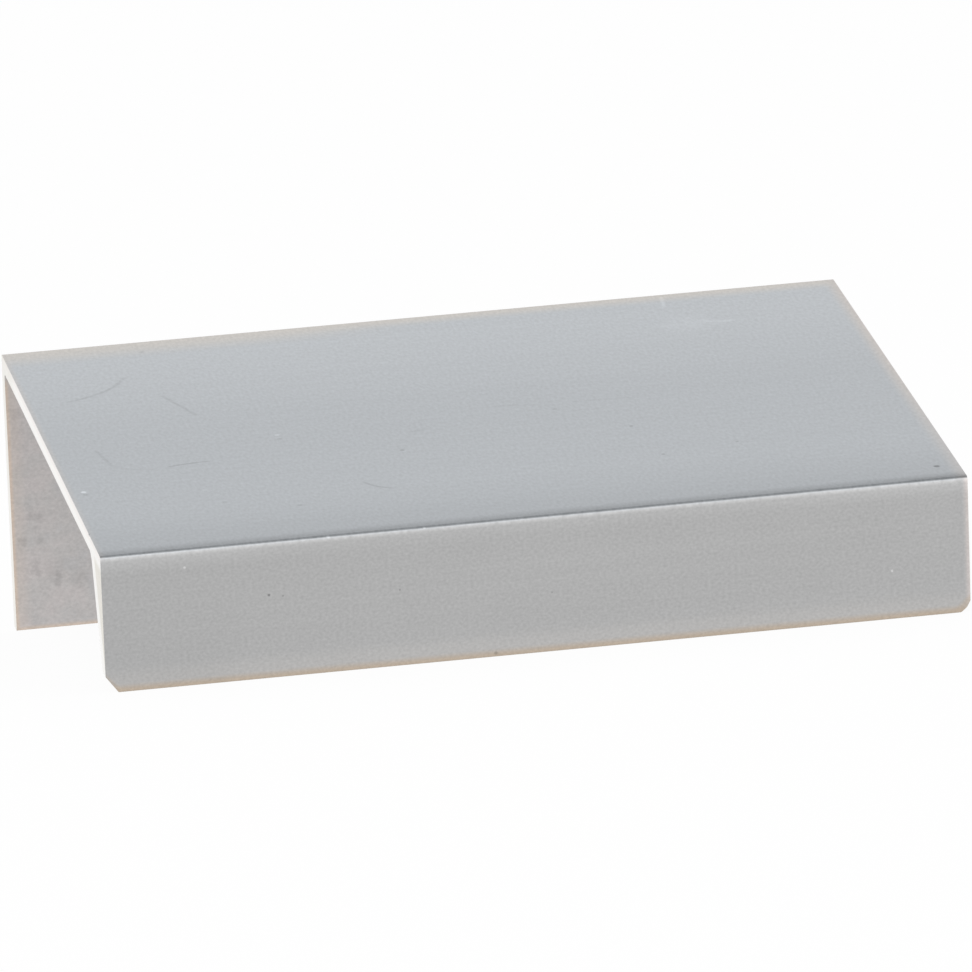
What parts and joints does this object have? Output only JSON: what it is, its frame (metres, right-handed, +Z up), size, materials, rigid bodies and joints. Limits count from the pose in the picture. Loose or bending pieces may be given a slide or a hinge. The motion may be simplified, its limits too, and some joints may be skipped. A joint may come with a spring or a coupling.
{
  "type": "finger pull profile",
  "caption": "Uneven channel of extruded aluminium that hooks over a furniture door's edge as a finger pull: tall screw flange behind, flat plate on top, short clipped lip in front.",
  "frame": {"origin": "on the floor, under the middle of the profile as it stands on its two unequal legs", "axes": "+X along the profile, -Y towards the front lip, +Z up"},
  "size_m": [0.064, 0.0516, 0.0214],
  "materials": {
    "satin_aluminium": "matt blasted and clear anodised, with a few scratches and bare cut ends"
  },
  "bodies": {
    "root": {"pull_profile": "satin_aluminium"}
  },
  "joints": []
}
